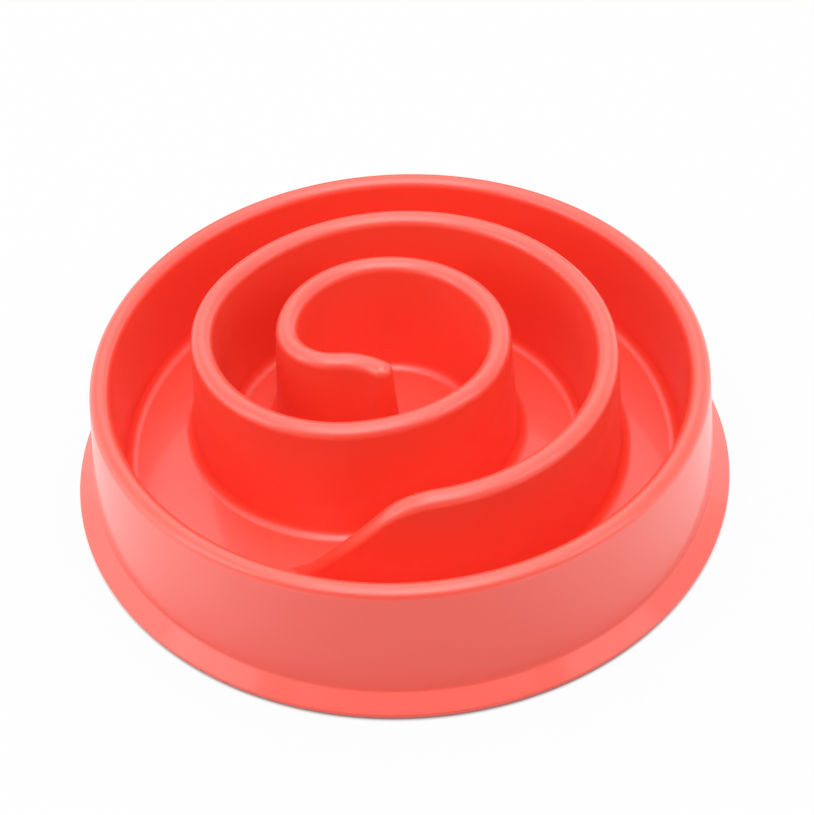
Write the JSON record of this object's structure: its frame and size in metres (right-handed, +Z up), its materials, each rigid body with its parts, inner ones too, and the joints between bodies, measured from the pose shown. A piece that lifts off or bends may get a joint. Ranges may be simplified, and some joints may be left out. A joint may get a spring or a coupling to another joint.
{
  "type": "slow feeder bowl",
  "caption": "Round pet bowl with a flared skirt and a tall spiral ridge on the floor that slows eating, on rubber plug feet.",
  "frame": {"origin": "centre of the bowl at the height of the ground that the feet stand on", "axes": "+Z up through the bowl's middle, +X to the right and +Y to the back as the picture shows the bowl, with the ramp of the ridge's outer end at the front"},
  "size_m": [0.24, 0.24, 0.057],
  "materials": {
    "shell_plastic": "smooth moulded coral plastic, semi-gloss",
    "foot_rubber": "matt soft rubber"
  },
  "bodies": {
    "root": {"bowl_shell": "shell_plastic", "rubber_foot_1": "foot_rubber", "rubber_foot_2": "foot_rubber", "rubber_foot_3": "foot_rubber", "rubber_foot_4": "foot_rubber", "rubber_foot_5": "foot_rubber", "rubber_foot_6": "foot_rubber"}
  },
  "joints": []
}
